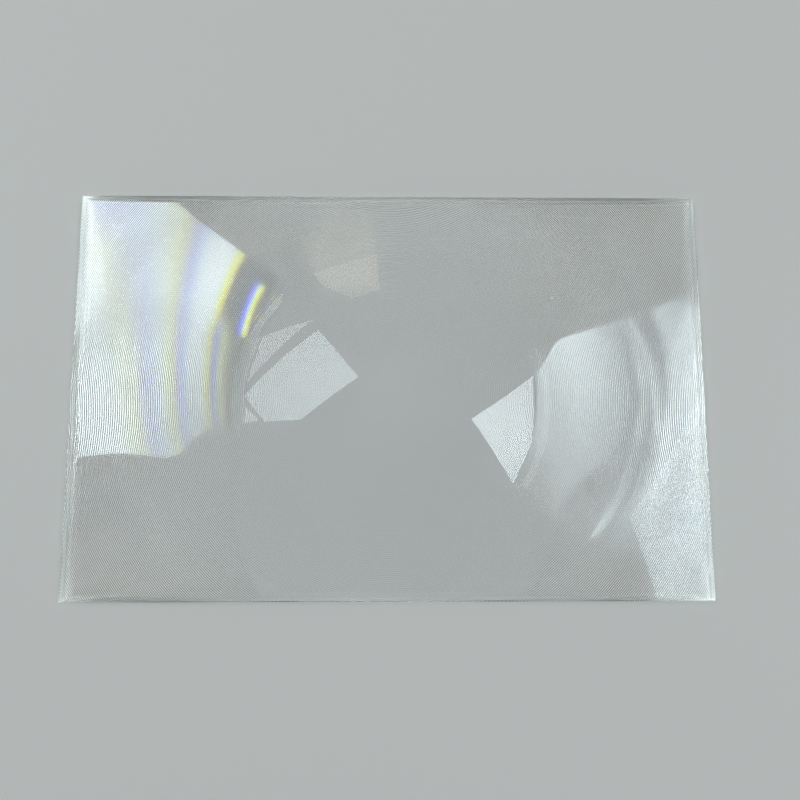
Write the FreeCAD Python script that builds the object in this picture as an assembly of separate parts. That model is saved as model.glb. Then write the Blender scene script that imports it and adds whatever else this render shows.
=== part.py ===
import FreeCAD, Part
import math
import os

# A rectangular Fresnel lens, moulded in one piece of clear acrylic.
# Frame: the flat face lies on Z = 0, the grooved face looks up (+Z), the origin is the
# middle of the flat face, and X runs along the plate's length. Millimetres.

# ---- driving dimensions ----
plate_length = 105.0
plate_width = 67.5
plate_thickness = 0.9
axis_x = 0.0                  # where the optical axis crosses the plate
axis_y = 0.0
focal_length = 150.0
refractive_index = 1.49       # acrylic
ring_pitch = 1.8              # radial width of a ring; it stands for six fine ones
slope_share = 0.35            # a wide ring as steep as the fine ones would cut the plate through
riser_draft = 5.0             # degrees: each riser leans, so that the mould lets go


def corner_distance():
    """How far the corner that is furthest from the optical axis lies from it."""
    reach_x = plate_length / 2 + abs(axis_x)
    reach_y = plate_width / 2 + abs(axis_y)
    return math.hypot(reach_x, reach_y)


def facet_slope(radius):
    """Slope of a facet that sends light coming straight down to the focal point below."""
    bend = math.sin(math.atan2(radius, focal_length))
    return bend / (math.sqrt(refractive_index ** 2 - bend ** 2) - 1)


def sawtooth():
    """Half section of the grooved face, from the axis out: a facet and a riser a ring."""
    lean = math.tan(math.radians(riser_draft))
    rings = math.floor(corner_distance() / ring_pitch) + 1
    points = [FreeCAD.Vector(0, 0, plate_thickness)]
    for ring in range(rings):
        ridge = ring * ring_pitch
        next_ridge = ridge + ring_pitch
        slope = slope_share * facet_slope(ridge + ring_pitch / 2)
        # the facet falls outwards from its ridge until it meets the leaning riser
        depth = slope * ring_pitch / (1 + slope * lean)
        valley = next_ridge - depth * lean
        points.append(FreeCAD.Vector(valley, 0, plate_thickness - depth))
        points.append(FreeCAD.Vector(next_ridge, 0, plate_thickness))
    return points


def moulded_disc():
    """The round blank with the whole ring pattern, which reaches past every corner."""
    outline = sawtooth()
    rim = outline[-1].x
    outline.append(FreeCAD.Vector(rim, 0, 0))
    outline.append(FreeCAD.Vector(0, 0, 0))
    outline.append(outline[0])
    section = Part.Face(Part.makePolygon(outline))
    disc = section.revolve(FreeCAD.Vector(0, 0, 0), FreeCAD.Vector(0, 0, 1), 360)
    disc.translate(FreeCAD.Vector(axis_x, axis_y, 0))
    return disc


def sawn_plate(disc):
    """The rectangle sawn from the disc, with square edges and sharp corners."""
    corner = FreeCAD.Vector(-plate_length / 2, -plate_width / 2, 0)
    blank = Part.makeBox(plate_length, plate_width, plate_thickness, corner)
    return blank.common(disc).Solids[0]


def main():
    os.makedirs("parts", exist_ok=True)
    lens = sawn_plate(moulded_disc())
    print("valid", lens.isValid(), "volume in cubic mm", round(lens.Volume, 1))
    lens.exportStep("parts/fresnel_lens.step")


main()
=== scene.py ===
# %% [markdown]
# # A clear Fresnel lens, from its rings to its reflections
# A Fresnel lens is a thick lens cut into rings and laid flat. This one is a stiff plate of
# clear acrylic with fine sawtooth rings moulded into its upper face, and a flat lower face
# that lies on the table. Nothing on it moves, so the whole lens is one piece.
#
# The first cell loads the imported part, and the lens is measured from it, in metres.

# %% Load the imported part
import math

import bmesh
import bpy
from mathutils import Matrix, Vector


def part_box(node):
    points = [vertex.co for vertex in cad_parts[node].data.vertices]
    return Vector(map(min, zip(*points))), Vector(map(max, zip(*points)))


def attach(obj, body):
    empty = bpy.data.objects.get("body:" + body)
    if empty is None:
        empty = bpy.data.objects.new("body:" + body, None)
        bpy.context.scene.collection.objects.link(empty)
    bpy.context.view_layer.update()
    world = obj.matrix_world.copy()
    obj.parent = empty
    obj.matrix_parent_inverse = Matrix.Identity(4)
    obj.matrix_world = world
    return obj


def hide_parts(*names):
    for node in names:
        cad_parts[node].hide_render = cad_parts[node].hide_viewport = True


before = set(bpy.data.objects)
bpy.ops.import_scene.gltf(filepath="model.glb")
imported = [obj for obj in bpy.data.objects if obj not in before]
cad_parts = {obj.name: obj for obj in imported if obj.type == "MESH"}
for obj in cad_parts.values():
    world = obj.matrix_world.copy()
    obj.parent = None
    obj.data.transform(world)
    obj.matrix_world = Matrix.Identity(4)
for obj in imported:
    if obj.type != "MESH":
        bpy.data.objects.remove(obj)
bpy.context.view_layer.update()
low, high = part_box("fresnel_lens")
length = high.x - low.x
width = high.y - low.y
thickness = high.z - low.z
middle = (low + high) / 2
MM = 0.001
print("plate", [round(v / MM, 2) for v in (length, width, thickness)], "mm")

# %% [markdown]
# ## The ring profile
# Each ring has two faces. The facet is the working face: its slope sends light from the
# focal point straight up, and it grows steeper from the middle out. The riser is the short
# wall that steps back up to the next ring. It leans, more so towards the corners, or the
# mould would not let the plate go. The slope could be read from a table, but the formula of
# a lens maker says the same in one line and holds for every ring.

# %% Slope of a facet
FOCAL_LENGTH = 150 * MM
INDEX = 1.49                       # how strongly acrylic bends light
RING_PITCH = 0.3 * MM
DRAFT_AT_AXIS = 6.0                # degrees that a riser leans from upright
DRAFT_AT_CORNER = 15.0
reach = math.hypot(length, width) / 2
rings = math.ceil(reach / RING_PITCH)


def facet_slope(radius):
    bend = math.sin(math.atan2(radius, FOCAL_LENGTH))
    return bend / (math.sqrt(INDEX ** 2 - bend ** 2) - 1)


def riser_lean(radius):
    draft = DRAFT_AT_AXIS + (DRAFT_AT_CORNER - DRAFT_AT_AXIS) * radius / reach
    return math.tan(math.radians(draft))


print(rings, "rings, the last with a slope of", round(facet_slope(reach), 3))

# %% [markdown]
# ## Turning the profile into a grooved face
# A real lens like this is pressed from a turned metal master, so every groove is a perfect
# circle. A screw or array modifier could spin the profile too, but a loop in bmesh leaves
# every vertex where the formula puts it, and keeps the ridges sharp.

# %% Circles of vertices
SIDES = 240                        # straight steps in a full circle


def circle(mesh, radius, z):
    turn = 2 * math.pi / SIDES
    return [
        mesh.verts.new((radius * math.cos(k * turn), radius * math.sin(k * turn), z))
        for k in range(SIDES)
    ]


def join_circles(mesh, inner, outer):
    for k in range(SIDES):
        after = (k + 1) % SIDES
        mesh.faces.new((inner[k], outer[k], outer[after], inner[after]))


print("each step round a circle turns by", 360 / SIDES, "degrees")


# %% Grooved face
def grooved_face(mesh, top):
    centre = mesh.verts.new((0, 0, top))
    ridge = None
    for ring in range(rings):
        near = ring * RING_PITCH
        far = near + RING_PITCH
        slope = facet_slope(near + RING_PITCH / 2)
        lean = riser_lean(far)
        depth = slope * RING_PITCH / (1 + slope * lean)
        valley = circle(mesh, far - depth * lean, top - depth)
        if ridge is None:
            for k in range(SIDES):
                mesh.faces.new((centre, valley[k], valley[(k + 1) % SIDES]))
        else:
            join_circles(mesh, ridge, valley)
        ridge = circle(mesh, far, top)
        join_circles(mesh, valley, ridge)


plate = bmesh.new()
grooved_face(plate, thickness)
print(len(plate.faces), "faces on the grooved disc")

# %% [markdown]
# ## Cutting the rectangle
# The maker saws the plate from the disc, which is why the rings run off all four edges and
# each edge ends in a row of tiny teeth. Four cutting planes do the same here. The side
# walls are then drawn down to the table, with a hairline chamfer where the saw's burr is
# scraped off the lower rim. That hairline catches the light in a thin bright line.

# %% Saw the sides
SAME_SPOT = 1e-9                   # vertices nearer than this to a cut are on it
for axis, half in ((0, length / 2), (1, width / 2)):
    for sign in (-1, 1):
        normal = Vector((0, 0, 0))
        normal[axis] = sign
        bmesh.ops.bisect_plane(
            plate,
            geom=plate.verts[:] + plate.edges[:] + plate.faces[:],
            plane_co=normal * half,
            plane_no=normal,
            clear_outer=True,
            dist=SAME_SPOT,
        )
print(len(plate.faces), "faces after sawing")

# %% Draw the walls down and close the flat face
RIM_CHAMFER = 0.12 * MM


def draw_down(mesh, z, inset):
    edges = [e for e in mesh.edges if e.is_boundary]
    made = bmesh.ops.extrude_edge_only(mesh, edges=edges)
    for v in made["geom"]:
        if isinstance(v, bmesh.types.BMVert):
            v.co.x = max(-length / 2 + inset, min(length / 2 - inset, v.co.x))
            v.co.y = max(-width / 2 + inset, min(width / 2 - inset, v.co.y))
            v.co.z = z


draw_down(plate, RIM_CHAMFER, 0)
draw_down(plate, 0, RIM_CHAMFER)
bmesh.ops.edgeloop_fill(plate, edges=[e for e in plate.edges if e.is_boundary])
bmesh.ops.recalc_face_normals(plate, faces=plate.faces)
open_edges = sum(1 for e in plate.edges if not e.is_manifold)
print(len(plate.faces), "faces in all,", open_edges, "open edges")

# %% [markdown]
# ## Placing the lens
# The grooves stay sharp, while the 240 steps round each circle are smoothed away by
# shading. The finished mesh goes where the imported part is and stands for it.

# %% The lens as an object
CLEAR_SLOT, SAWN_SLOT = 0, 1
UPRIGHT = 0.001                    # a wall's normal points up by less than this
SHARP_ANGLE = 20                   # degrees: faces that meet at more keep a sharp edge
lens_mesh = bpy.data.meshes.new("grooved_lens")
plate.to_mesh(lens_mesh)
plate.free()
lens_mesh.transform(Matrix.Translation((middle.x, middle.y, low.z)))
for face in lens_mesh.polygons:
    face.use_smooth = True
    face.material_index = SAWN_SLOT if abs(face.normal.z) < UPRIGHT else CLEAR_SLOT
lens_mesh.set_sharp_from_angle(angle=math.radians(SHARP_ANGLE))
lens = bpy.data.objects.new("grooved_lens", lens_mesh)
bpy.context.scene.collection.objects.link(lens)
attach(lens, "root")
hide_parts("fresnel_lens")
triangles = sum(len(face.vertices) - 2 for face in lens_mesh.polygons)
print("lens of", triangles, "triangles")

# %% [markdown]
# ## Handling marks
# A clear sheet is never quite clean: fingers leave soft smears, and a few specks of dust
# settle on it. Both the moulded faces and the sawn edges carry them, so they are built once
# as a node group that gives a roughness, and placed in each material.

# %% Helpers that add a node
def math_node(tree, operation, first, second, name):
    node = tree.nodes.new("ShaderNodeMath")
    node.operation = operation
    node.name = node.label = name
    for socket, value in zip(node.inputs, (first, second)):
        if isinstance(value, (int, float)):
            socket.default_value = value
        else:
            tree.links.new(value, socket)
    return node.outputs["Value"]


def remap(tree, value, span, result, name):
    node = tree.nodes.new("ShaderNodeMapRange")
    node.name = node.label = name
    for socket, number in zip(("From Min", "From Max", "To Min", "To Max"), span + result):
        node.inputs[socket].default_value = number
    tree.links.new(value, node.inputs["Value"])
    return node.outputs["Result"]


def blend(tree, share, first, second, name):
    node = tree.nodes.new("ShaderNodeMix")
    node.data_type = "FLOAT"
    node.name = node.label = name
    for socket, value in zip(("Factor", "A", "B"), (share, first, second)):
        tree.links.new(value, node.inputs[socket])
    return node.outputs["Result"]


print("helpers for a sum, a change of range and a blend of two values")


# %% An empty node group
def new_group(name, sockets):
    group = bpy.data.node_groups.new(name, "ShaderNodeTree")
    for socket, way, kind, value in sockets:
        made = group.interface.new_socket(name=socket, in_out=way, socket_type=kind)
        if value is not None:
            made.default_value = value
    group_in = group.nodes.new("NodeGroupInput")
    group_out = group.nodes.new("NodeGroupOutput")
    return group, group_in, group_out


marks, marks_in, marks_out = new_group("handling_marks", (
    ("Vector", "INPUT", "NodeSocketVector", None),
    ("Clean Roughness", "INPUT", "NodeSocketFloat", 0.01),
    ("Smear Roughness", "INPUT", "NodeSocketFloat", 0.02),
    ("Speck Roughness", "INPUT", "NodeSocketFloat", 0.5),
    ("Roughness", "OUTPUT", "NodeSocketFloat", None),
    ("Speck", "OUTPUT", "NodeSocketFloat", None),
))
print("group", marks.name, "with", len(marks.interface.items_tree), "sockets")

# %% Smears
SMEAR_SCALE = 45.0                 # a smear every 20 mm or so
SMEAR_EDGE = (0.5, 0.75)           # level of noise where a smear starts, and where it is full
smear = marks.nodes.new("ShaderNodeTexNoise")
smear.name = smear.label = "wiped smears"
smear.inputs["Scale"].default_value = SMEAR_SCALE
smear.inputs["Detail"].default_value = 3.0
marks.links.new(marks_in.outputs["Vector"], smear.inputs["Vector"])
smeared = remap(marks, smear.outputs["Fac"], SMEAR_EDGE, (0.0, 1.0), "where it is smeared")
print("smears from", smear.bl_label)

# %% Dust
DUST_SCALE = 70.0                  # cells of about 14 mm
SPECK_EDGE = (0.016, 0.024)        # where a speck's rim starts and ends, in cells
CLEAN_SHARE = 0.55                 # share of the cells without a speck
dust = marks.nodes.new("ShaderNodeTexVoronoi")
dust.name = dust.label = "dust cells"
dust.inputs["Scale"].default_value = DUST_SCALE
marks.links.new(marks_in.outputs["Vector"], dust.inputs["Vector"])
near = remap(marks, dust.outputs["Distance"], SPECK_EDGE, (1.0, 0.0), "speck size")
pick = marks.nodes.new("ShaderNodeSeparateColor")
marks.links.new(dust.outputs["Color"], pick.inputs["Color"])
chosen = math_node(marks, "GREATER_THAN", pick.outputs["Red"], CLEAN_SHARE, "cells with dust")
speck = math_node(marks, "MULTIPLY", near, chosen, "dust specks")
print("specks from", dust.bl_label)

# %% Roughness of both
rough = blend(marks, smeared, marks_in.outputs["Clean Roughness"],
              marks_in.outputs["Smear Roughness"], "smear roughness")
rough = blend(marks, speck, rough, marks_in.outputs["Speck Roughness"], "speck roughness")
marks.links.new(rough, marks_out.inputs["Roughness"])
marks.links.new(speck, marks_out.inputs["Speck"])
print("handling marks with", len(marks.nodes), "nodes")

# %% [markdown]
# ## Clear acrylic
# The moulded faces are polished like the master that pressed them. One glass shader does
# for a real solid: light goes in by a facet or a riser, turns at the flat face and comes
# out again, so every ring and both faces must be there for it to look right. The colour is
# a shade off white, because acrylic takes a little red out of the light.

# %% Moulded faces
DUST_COLOUR = (0.75, 0.74, 0.72)


def acrylic(name, colour, clean, smeared, clear_share):
    material = bpy.data.materials.new(name)
    material.use_nodes = True
    tree = material.node_tree
    tree.nodes.clear()
    place = tree.nodes.new("ShaderNodeTexCoord")
    group = tree.nodes.new("ShaderNodeGroup")
    group.node_tree = marks
    group.inputs["Clean Roughness"].default_value = clean
    group.inputs["Smear Roughness"].default_value = smeared
    tree.links.new(place.outputs["Object"], group.inputs["Vector"])
    tint = tree.nodes.new("ShaderNodeMix")
    tint.data_type = "RGBA"
    tint.name = tint.label = "dust over acrylic"
    tint.inputs["A"].default_value = (*colour, 1)
    tint.inputs["B"].default_value = (*DUST_COLOUR, 1)
    tree.links.new(group.outputs["Speck"], tint.inputs["Factor"])
    shader = tree.nodes.new("ShaderNodeBsdfPrincipled")
    shader.inputs["Transmission Weight"].default_value = clear_share
    shader.inputs["IOR"].default_value = INDEX
    tree.links.new(tint.outputs["Result"], shader.inputs["Base Color"])
    tree.links.new(group.outputs["Roughness"], shader.inputs["Roughness"])
    output = tree.nodes.new("ShaderNodeOutputMaterial")
    tree.links.new(shader.outputs["BSDF"], output.inputs["Surface"])
    return material


moulded = acrylic("clear_acrylic", (0.988, 0.996, 0.993), clean=0.01, smeared=0.022, clear_share=1.0)
lens_mesh.materials.append(moulded)
print("material", moulded.name)

# %% [markdown]
# ## Sawn edges
# A saw leaves the four narrow walls frosted. They take in light from the side and glow
# pale green, which draws a line along each edge. A rough glass alone would look dark at a
# steep angle, so half of the wall is glass and half scatters the light, as ground acrylic does.

# %% Sawn edges
sawn = acrylic("sawn_acrylic", (0.93, 0.985, 0.965), clean=0.33, smeared=0.38, clear_share=0.5)
lens_mesh.materials.append(sawn)
walls = sum(1 for face in lens_mesh.polygons if face.material_index == SAWN_SLOT)
print(walls, "wall faces in", sawn.name)

# %% [markdown]
# ## Floor
# A plain pale grey board. The plate is judged by its edges and by the light that it throws
# back, and a board well below white leaves room for both.

# %% Floor
FLOOR_HALF = 0.8
BOARD_COLOUR = (0.45, 0.445, 0.44, 1)
BOARD_GAP = 0.02 * MM              # so that the board and the flat face don't flicker
floor_mesh = bpy.data.meshes.new("floor")
floor_mesh.from_pydata(
    [(-FLOOR_HALF, -FLOOR_HALF, 0), (FLOOR_HALF, -FLOOR_HALF, 0),
     (FLOOR_HALF, FLOOR_HALF, 0), (-FLOOR_HALF, FLOOR_HALF, 0)],
    [], [(0, 1, 2, 3)])
floor_mesh.transform(Matrix.Translation((0, 0, low.z - BOARD_GAP)))
floor = bpy.data.objects.new("floor", floor_mesh)
bpy.context.scene.collection.objects.link(floor)
board = bpy.data.materials.new("pale_board")
board.use_nodes = True
board_shader = board.node_tree.nodes["Principled BSDF"]
board_shader.inputs["Base Color"].default_value = BOARD_COLOUR
board_shader.inputs["Roughness"].default_value = 0.7
floor_mesh.materials.append(board)
print("floor", 2 * FLOOR_HALF, "m wide")

# %% [markdown]
# ## Soft panels for windows
# A grooved plate is nearly invisible until there is something to mirror. Two groups of soft
# panels, left and right, stand for windows. They lie in one plane a metre up, and each
# corner is given as a direction from the lens: degrees from straight up, and heading.
#
# The facets mirror a panel as a sharp plain shape. The risers send light round by the flat
# face, and see only a narrow range of directions, some 50 to 57 degrees from straight up.
# There a small step in direction is a long way across the plate, so the panels have their
# rims in that range, and each rim has a cell of its own below. None of this is part of the
# lens.

# %% Directions
PANEL_HEIGHT = 1.0


def lamp_point(tilt, heading):
    out = PANEL_HEIGHT * math.tan(math.radians(tilt))
    angle = math.radians(heading)
    return (out * math.cos(angle), out * math.sin(angle), PANEL_HEIGHT)


print("a corner at 45 degrees lies", round(lamp_point(45, 0)[0], 2), "m out")


# %% A glowing panel
def glowing(name, points, faces, colours, radiance):
    mesh = bpy.data.meshes.new(name)
    mesh.from_pydata(points, [], faces)
    paint = mesh.color_attributes.new("glow", "FLOAT_COLOR", "POINT")
    for spot, colour in zip(paint.data, colours):
        spot.color = (*colour, 1)
    panel = bpy.data.objects.new(name, mesh)
    bpy.context.scene.collection.objects.link(panel)
    panel.visible_camera = False
    material = bpy.data.materials.new(name)
    material.use_nodes = True
    tree = material.node_tree
    tree.nodes.clear()
    painted = tree.nodes.new("ShaderNodeVertexColor")
    painted.layer_name = "glow"
    light = tree.nodes.new("ShaderNodeEmission")
    light.inputs["Strength"].default_value = radiance
    tree.links.new(painted.outputs["Color"], light.inputs["Color"])
    end = tree.nodes.new("ShaderNodeOutputMaterial")
    tree.links.new(light.outputs["Emission"], end.inputs["Surface"])
    mesh.materials.append(material)
    return panel


def pane(name, corners, radiance, tint):
    points = [lamp_point(*corner) for corner in corners]
    return glowing(name, points, [range(len(points))], [tint] * len(points), radiance)


print("a pane has one face, and its glow is painted on its corners")

# %% [markdown]
# ## Panes
# A few plain corners are enough for a pane, because a window is a plain shape. The two tan
# panes stand for a lit wall beyond the far edge.

# %% Panes
DAYLIGHT = (0.84, 0.965, 1.0)
PLASTER = (1.0, 0.93, 0.82)
LEFT_RADIANCE = 6
RIGHT_RADIANCE = 10
SIDE_RADIANCE = 4.5
BACK_RADIANCE = 2.2
BACK_TOP_RADIANCE = 0.9
pane("left_pane", [(39, 131), (17, 133), (32, 185), (44, 184), (51, 173)], LEFT_RADIANCE, DAYLIGHT)
pane("left_corner_pane", [(46, 183), (50.7, 177), (50.3, 184)], LEFT_RADIANCE, DAYLIGHT)
pane("left_side_pane", [(43, 130), (52, 149), (51, 168)], SIDE_RADIANCE, DAYLIGHT)
pane("right_pane", [(29, 355), (48, 13), (51.5, 15), (50, 350), (49, 330)], RIGHT_RADIANCE, DAYLIGHT)
pane("back_wall", [(56, 119), (56, 95), (44, 95), (43, 109), (51, 118)], BACK_RADIANCE, PLASTER)
pane("back_wall_top", [(58, 118), (58, 95), (62, 95), (61, 119)], BACK_TOP_RADIANCE, PLASTER)
print("panes ready")

# %% [markdown]
# ## Rims that break into colour
# Acrylic bends blue light a little more than red, so a rim of light that is seen by way of a
# riser breaks into the colours of a prism. One glass shader has a single index and can't do
# this, and a mix of three, one a colour, makes a noisy picture. So the rim is painted with
# what the prism would make of it: its brightness is laid down three times, in red, green and
# blue, a little apart.
#
# A rim is a grid behind a curved sill. Its rows count degrees inwards from the sill, and its
# jambs say at which heading a row starts and ends. A formula gives the brightness of every
# vertex, from two shapes: a soft step where something starts, and a soft line for a bar.

# %% Helpers for a rim
RED_SHIFT = -0.02                  # degrees by which red and blue part from green
BLUE_SHIFT = 0.19


def step(value, edge, softness):
    share = (value - edge) / softness + 0.5
    share = max(0.0, min(1.0, share))
    return share * share * (3 - 2 * share)


def line(value, place, half_width):
    return math.exp(-((value - place) / half_width) ** 2)


def bowed(first, last, bow, share):
    return first + (last - first) * share + bow * math.sin(math.pi * share)


def rim(name, sill, jambs, span, rows, columns, brightness, radiance, shifts):
    points, colours, faces = [], [], []
    for row in range(rows + 1):
        inside = span[0] + (span[1] - span[0]) * row / rows
        first, last = jambs(inside)
        for column in range(columns + 1):
            heading = first + (last - first) * column / columns
            points.append(lamp_point(sill(heading) - inside, heading))
            colours.append([
                tone * brightness(inside - shift, heading)
                for tone, shift in zip(DAYLIGHT, shifts)
            ])
    wide = columns + 1
    for row in range(rows):
        for column in range(columns):
            k = row * wide + column
            faces.append((k, k + 1, k + 1 + wide, k + wide))
    return glowing(name, points, faces, colours, radiance)


print("a soft step goes", [round(step(value, 0, 4), 2) for value in (-2, -1, 0, 1, 2)])

# %% [markdown]
# ## The left rim
# The risers show this one as the large pale patch. Two soft bars across it become the dark
# arcs, a third bar runs along the sill where it is low, and a short bright line outside the
# sill becomes the spark beside the patch. The part nearest the middle is a little brighter.

# %% Outline of the left rim
RIM_SPAN = 55                      # degrees of heading that a sill's curve runs over
LEFT_START, LEFT_END = 131, 184
LEFT_SILL = (56.6, 54.2, 0.4)      # tilt at both ends of the sill, and its bow


def left_sill(heading):
    return bowed(*LEFT_SILL, (heading - LEFT_START) / RIM_SPAN)


def left_jambs(inside):
    return LEFT_START + 1.5 * inside, LEFT_END + 5 * line(inside, 1.5, 0.6)


print("the left sill starts at", left_sill(LEFT_START), "degrees from straight up")

# %% Left rim
LOW_HEADING = 151                  # beyond it the sill is low and soft
LOW_BAR = (0.08, 0.13)             # place and half width, in degrees inside the sill
ARC_BARS = ((0.5, 1.08, 0.15), (0.32, 1.74, 0.16))   # share held back, place, half width
THIN_BAR = (171.5, 0.4)            # an upright bar: heading and half width
FADE_HEADING = 147                 # brighter before this heading, dimmer after it
DARK_DEPTH, DARK_HEADING = 2.35, 150                 # dark when deeper and before the heading
DEEP_GAIN, DEEP_START = 0.7, 3.1   # the deepest rows are brighter
SPARK = (-0.95, 0.12)              # place and half width, outside the sill
SPARK_START, SPARK_END = 134, 151.5
SPARK_GAIN = 2.0


def left_light(inside, heading):
    # light starts crisply at the sill, or softly and further out where the sill is low
    low = step(heading, LOW_HEADING, 8)
    light = (1 - low) * step(inside, 0.08, 0.2) + 0.9 * low * step(inside, -0.3, 0.7)
    # each bar holds back a share of it
    light *= 1 - 0.85 * low * line(inside, *LOW_BAR)
    for share, place, half_width in ARC_BARS:
        light *= 1 - share * line(inside, place, half_width)
    light *= 1 - 0.3 * line(heading, *THIN_BAR) * step(inside, -0.4, 0.1)
    # and it isn't even: bright at the start, dark in one corner, bright in the deepest rows
    light *= 1.6 - 0.7 * step(heading, FADE_HEADING, 22)
    light *= 1 - step(inside, DARK_DEPTH, 0.3) * (1 - step(heading, DARK_HEADING, 4))
    light *= 1 + DEEP_GAIN * step(inside, DEEP_START, 0.5)
    spark = line(inside, *SPARK) * step(heading, SPARK_START, 1)
    return light + SPARK_GAIN * spark * (1 - step(heading, SPARK_END, 1))


left_rim = rim("left_rim", left_sill, left_jambs, span=(-1.5, 4.0), rows=150, columns=28,
               brightness=left_light, radiance=2.3, shifts=(RED_SHIFT, 0.0, BLUE_SHIFT))
print("left rim of", len(left_rim.data.polygons), "faces")

# %% [markdown]
# ## The right rim
# This one shows as three things side by side. Inside the sill is the tall patch along the
# edge of the plate. Just outside it lies a faint fan with two thin streaks, and beyond the
# fan a petal. No colours part here, so all three are painted in plain daylight.

# %% Outline of the right rim
RIGHT_START, RIGHT_END = 331, 385
RIGHT_SILL = (50.2, 53.7, -0.1)    # as for the left one


def right_sill(heading):
    return bowed(*RIGHT_SILL, (heading - RIGHT_START) / RIM_SPAN)


def right_jambs(inside):
    return RIGHT_START, RIGHT_END - 9 * step(-inside, 2.6, 1.5)


print("the right sill starts at", right_sill(RIGHT_START), "degrees from straight up")

# %% Right rim
FAN_TURN = 347                     # from here on the fan narrows and the patch brightens
PATCH_EDGE = 0.12                  # the patch is brightest nearer to the sill than this
FAN_START = 346
NEAR_STREAK = 0.03                 # degrees outside the sill
NEAR_STREAK_START = 357
FAR_STREAK = 0.25
FAR_STREAK_TURN = 378
STREAK_WIDTH = 0.035
PETAL_END = 3.36                   # degrees outside the sill


def right_light(inside, heading):
    outside = -inside
    turned = step(heading, FAN_TURN, 24)
    within = step(inside, 0.0, 0.06)
    # the patch, the fan with its two streaks, and the petal, each as if it were alone
    patch = (0.2 + 0.3 * turned) * (1.5 - 0.5 * step(inside, PATCH_EDGE, 0.1))
    fan = 0.06 + 0.14 * step(heading, FAN_START, 14)
    near_streak = NEAR_STREAK + 0.008 * (heading - NEAR_STREAK_START)
    fan += 0.6 * line(outside, near_streak, STREAK_WIDTH) * step(heading, NEAR_STREAK_START, 6)
    far_streak = FAR_STREAK + 0.13 * step(heading, FAR_STREAK_TURN, 24)
    fan += 0.45 * line(outside, far_streak, STREAK_WIDTH)
    petal = (0.3 + step(outside, 1.0, 1.6)) * (1 - step(outside, PETAL_END, 0.12))
    # the patch shows inside the sill, the fan just outside it and the petal beyond the fan
    beyond = step(outside, 1.2 - 0.75 * turned, 0.05)
    return patch * within + (fan * (1 - beyond) + petal * beyond) * (1 - within)


right_rim = rim("right_rim", right_sill, right_jambs, span=(-3.6, 1.0), rows=180, columns=56,
                brightness=right_light, radiance=2.0, shifts=(0.0, 0.0, 0.0))
print("right rim of", len(right_rim.data.polygons), "faces")

# %% [markdown]
# ## Room
# Pale walls all round and a dimmer ceiling, where the camera is. The walls give the edges
# of the plate something bright to pick up from every side. One large soft lamp lifts the
# board to the level at which its colour renders as it is written.

# %% World
WALL_TOP, CEILING_START = 0.08, 0.38           # height of a direction, 1 is straight up
WALL_LEVEL, CEILING_LEVEL = 1.05, 0.37
WARM_WHITE = (1.0, 0.97, 0.94, 1)
world = bpy.data.worlds.new("room")
bpy.context.scene.world = world
world.use_nodes = True
room = world.node_tree
sky = room.nodes.new("ShaderNodeTexCoord")
height = room.nodes.new("ShaderNodeSeparateXYZ")
room.links.new(sky.outputs["Generated"], height.inputs["Vector"])
shade = remap(room, height.outputs["Z"], (WALL_TOP, CEILING_START), (WALL_LEVEL, CEILING_LEVEL),
              "walls to ceiling")
room.links.new(shade, room.nodes["Background"].inputs["Strength"])
room.nodes["Background"].inputs["Color"].default_value = WARM_WHITE
print("room with walls at", WALL_LEVEL, "and a ceiling at", CEILING_LEVEL)

# %% Soft lamp
SOFTBOX_TILT = 38                  # degrees from straight up
SOFTBOX_HEADING = 150
SOFTBOX_DISTANCE = 1.6
softbox = bpy.data.lights.new("softbox", "AREA")
softbox.shape = "SQUARE"
softbox.size = 0.9
softbox.energy = 3.8
softbox.color = (1.0, 0.93, 0.88)
lamp = bpy.data.objects.new("softbox", softbox)
away = Vector(lamp_point(SOFTBOX_TILT, SOFTBOX_HEADING)).normalized()
lamp.location = away * SOFTBOX_DISTANCE
lamp.rotation_euler = away.to_track_quat("Z", "Y").to_euler()
lamp.visible_glossy = False
lamp.visible_transmission = False
bpy.context.scene.collection.objects.link(lamp)
print("softbox", round(SOFTBOX_DISTANCE, 2), "m away")

# %% [markdown]
# ## Camera
# The lens is seen from right above its near half, at about its own length, and the view
# tips a few degrees towards the far edge. The place is given in lengths of the plate.

# %% Camera
view = bpy.data.cameras.new("camera")
view.lens = 27
view.sensor_width = 36
view.clip_start = 0.001
camera = bpy.data.objects.new("camera", view)
bpy.context.scene.collection.objects.link(camera)
bpy.context.scene.camera = camera
EYE_IN_LENGTHS = Vector((0.0064, -0.1142, 0.9402))
VIEW_DIRECTION = Vector((0.0109, 0.1072, -0.9942))
eye = EYE_IN_LENGTHS * length + Vector((0, 0, thickness))
back = -VIEW_DIRECTION.normalized()
right = Vector((0, 1, 0)).cross(back).normalized()
up = back.cross(right)
turn = Matrix((right, up, back)).transposed().to_4x4()
camera.matrix_world = Matrix.Translation(eye) @ turn
print("camera", round(eye.z, 3), "m up")

# %% [markdown]
# ## Light through many faces
# A ray goes in by a facet, turns inside and comes out again, so it needs more turns than
# usual. Nothing is blurred or clamped, because that would wipe out the rings' fine lines.

# %% View and light paths
scene = bpy.context.scene
scene.view_settings.view_transform = "Standard"
scene.cycles.blur_glossy = 0
scene.cycles.sample_clamp_indirect = 0
scene.cycles.max_bounces = 16
scene.cycles.transmission_bounces = 16
scene.cycles.glossy_bounces = 8
print("light paths of up to", scene.cycles.max_bounces, "turns")

# %% [markdown]
# ## Finish

# %% Finish
print("scene ready")
